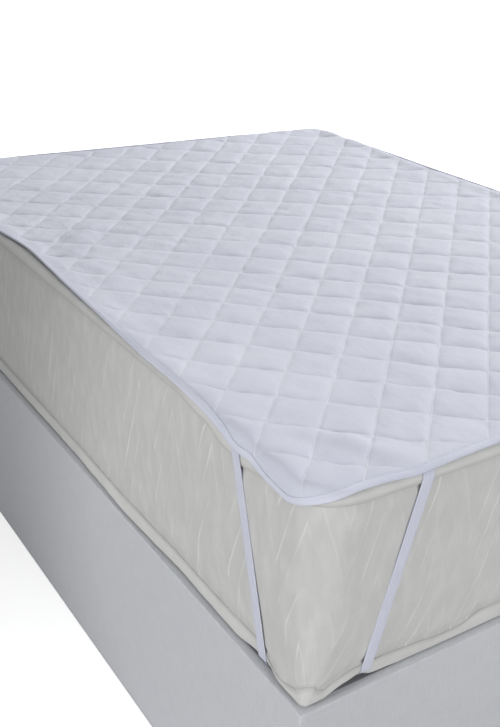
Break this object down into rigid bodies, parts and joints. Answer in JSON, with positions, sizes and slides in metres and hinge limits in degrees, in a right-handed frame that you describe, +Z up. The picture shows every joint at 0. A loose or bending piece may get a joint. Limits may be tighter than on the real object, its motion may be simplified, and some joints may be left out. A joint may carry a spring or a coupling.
{
  "type": "quilted mattress protector on a mattress and bed base",
  "caption": "Flat quilted mattress protector with a bound edge, held on a mattress by elastic bands round its corners, on a plain upholstered bed base.",
  "frame": {"origin": "on the floor, under the middle of the bed base", "axes": "+X across the bed, +Y along the bed from the foot to the head, +Z up"},
  "size_m": [1.41, 1.91, 0.8004],
  "materials": {
    "quilted_cotton": "matte",
    "binding_cotton": "matte",
    "elastic_webbing": "matte",
    "mattress_ticking": "matte",
    "mattress_tape": "matte",
    "base_upholstery": "matte"
  },
  "bodies": {
    "root": {"quilt_panel": "quilted_cotton", "edge_binding": "binding_cotton", "corner_elastic_near_left": "elastic_webbing", "corner_elastic_near_right": "elastic_webbing", "corner_elastic_far_right": "elastic_webbing", "corner_elastic_far_left": "elastic_webbing", "mattress": "mattress_ticking", "mattress_top_tape": "mattress_tape", "mattress_bottom_tape": "mattress_tape", "bed_base": "base_upholstery"}
  },
  "joints": []
}
